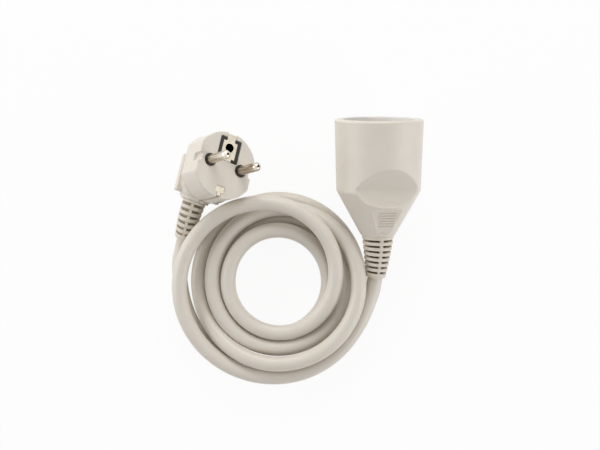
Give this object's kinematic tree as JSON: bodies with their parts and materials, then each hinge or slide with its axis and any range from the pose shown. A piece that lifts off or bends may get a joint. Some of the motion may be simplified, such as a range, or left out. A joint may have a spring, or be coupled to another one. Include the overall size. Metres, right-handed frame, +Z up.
{
  "type": "extension cord",
  "caption": "Short coiled white extension cord with a round earthed coupler and a hybrid earthed round-pin plug, laid flat.",
  "frame": {"origin": "on the floor under the middle of the coupler, its strain relief included", "axes": "+Z up, +Y the way the coupler points in plan, towards its mouth"},
  "size_m": [0.1398, 0.1498, 0.0545],
  "materials": {
    "housing": "satin white moulded PVC",
    "insert": "satin white thermoplastic",
    "shutter": "satin",
    "carrier": "matt",
    "relief": "satin soft PVC",
    "sheath": "satin white PVC sheath",
    "black_bridge": "satin black",
    "pin_nickel": "bright, plated",
    "dark_contact": "shaded, plated",
    "brass": "bright",
    "steel": "plated",
    "core_brown": "satin",
    "core_blue": "satin",
    "core_earth": "satin"
  },
  "bodies": {
    "root": {"coupler_shell": "housing", "socket_insert": "insert", "shutter_hub": "steel", "shutter_spring": "steel", "earth_bracket": "brass", "contact_carrier": "carrier", "contact_line": "brass", "contact_neutral": "brass", "coupler_crimps": "steel", "coupler_cord_clamp": "steel", "coupler_strain_relief": "relief", "coupler_core_brown": "core_brown", "coupler_core_blue": "core_blue", "coupler_core_earth": "core_earth", "coupler_cord_end": "sheath", "plug_shell": "housing", "plug_pin_bridge": "black_bridge", "pin_line": "pin_nickel", "pin_neutral": "pin_nickel", "earth_socket": "dark_contact", "plug_earth_strip": "pin_nickel", "plug_earth_side_contact": "pin_nickel", "plug_earth_link": "brass", "plug_crimps": "steel", "plug_strain_relief": "relief", "plug_cord_clamp": "steel", "plug_core_brown": "core_brown", "plug_core_blue": "core_blue", "plug_core_earth": "core_earth", "plug_cord_end": "sheath", "cord_lead_coupler": "sheath", "cord_coil": "sheath", "cord_lead_plug": "sheath"},
    "shutter": {"shutter_disc": "shutter"}
  },
  "joints": [
    {"name": "shutter_turn", "type": "hinge", "parent": "root", "child": "shutter", "pos_m": [0, 0.0203, 0.02537], "axis": [0, 0.9877, 0.1564], "range_deg": [0, 35], "stiffness_Nm_per_rad": 0.002}
  ]
}
